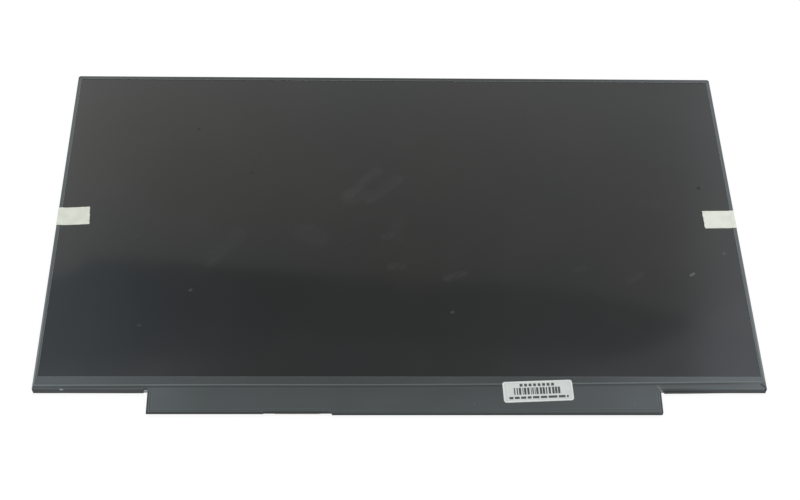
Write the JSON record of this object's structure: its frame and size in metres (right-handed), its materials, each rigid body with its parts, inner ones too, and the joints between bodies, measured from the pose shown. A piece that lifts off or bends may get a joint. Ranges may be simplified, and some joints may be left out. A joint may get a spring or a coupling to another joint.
{
  "type": "laptop screen panel",
  "caption": "Slim flat laptop display module, screen up: dark screen in a narrow pressed bezel, film-covered board flap along its lower edge, sticker and side tape tabs.",
  "frame": {"origin": "middle of the whole outline, body and board flap, on the plane of the rear face", "axes": "+X to the right along the screen, +Y up the screen, +Z out of the screen"},
  "size_m": [0.316, 0.1974, 0.0032],
  "materials": {
    "bezel_black": "satin black paint on pressed steel",
    "screen_dark": "dark polarizer film, semi-gloss",
    "cell_glass": "clear thin glass",
    "polarizer_grey": "grey polarizer film",
    "black_tape": "black double-sided tape",
    "prism_film": "ribbed clear film",
    "diffuser_film": "milky film",
    "guide_acrylic": "clear moulded acrylic",
    "reflector_white": "white reflective film",
    "frame_black": "black moulded plastic",
    "rear_metal": "bare pressed sheet",
    "flex_amber": "amber flexible circuit",
    "led_white": "white lamp bodies",
    "driver_film_brown": "brown flexible film",
    "chip_black": "black moulded package",
    "board_green": "green solder mask",
    "coil_grey": "dark ferrite",
    "capacitor_tan": "tan ceramic",
    "resistor_black": "dark ceramic",
    "socket_ivory": "ivory moulded plastic",
    "socket_steel": "tinned steel",
    "contact_gold": "gold-plated contacts",
    "film_black": "matte black plastic film",
    "sticker_paper": "pale satin paper sticker",
    "tape_paper": "cream crepe paper tape"
  },
  "bodies": {
    "root": {"front_bezel": "bezel_black", "mould_frame": "frame_black", "rear_cover": "rear_metal", "front_polarizer": "screen_dark", "filter_glass": "cell_glass", "array_glass": "cell_glass", "rear_polarizer": "polarizer_grey", "rim_tape": "black_tape", "upper_prism_sheet": "prism_film", "lower_prism_sheet": "prism_film", "diffuser_sheet": "diffuser_film", "light_guide": "guide_acrylic", "reflector_sheet": "reflector_white", "light_bar_flex": "flex_amber", "light_bar_leds": "led_white", "control_board": "board_green", "timing_controller": "chip_black", "memory_chip": "chip_black", "power_chip": "chip_black", "lamp_driver_chip": "chip_black", "boost_coils": "coil_grey", "rectifier_diodes": "chip_black", "large_capacitors": "capacitor_tan", "small_capacitors": "capacitor_tan", "chip_resistors": "resistor_black", "display_socket_body": "socket_ivory", "display_socket_shell": "socket_steel", "display_socket_contacts": "contact_gold", "board_cover_film": "film_black", "sticker_label": "sticker_paper", "left_tape_tab": "tape_paper", "right_tape_tab": "tape_paper", "driver_film_1": "driver_film_brown", "driver_chip_1": "chip_black", "driver_film_2": "driver_film_brown", "driver_chip_2": "chip_black", "driver_film_3": "driver_film_brown", "driver_chip_3": "chip_black", "driver_film_4": "driver_film_brown", "driver_chip_4": "chip_black"}
  },
  "joints": []
}
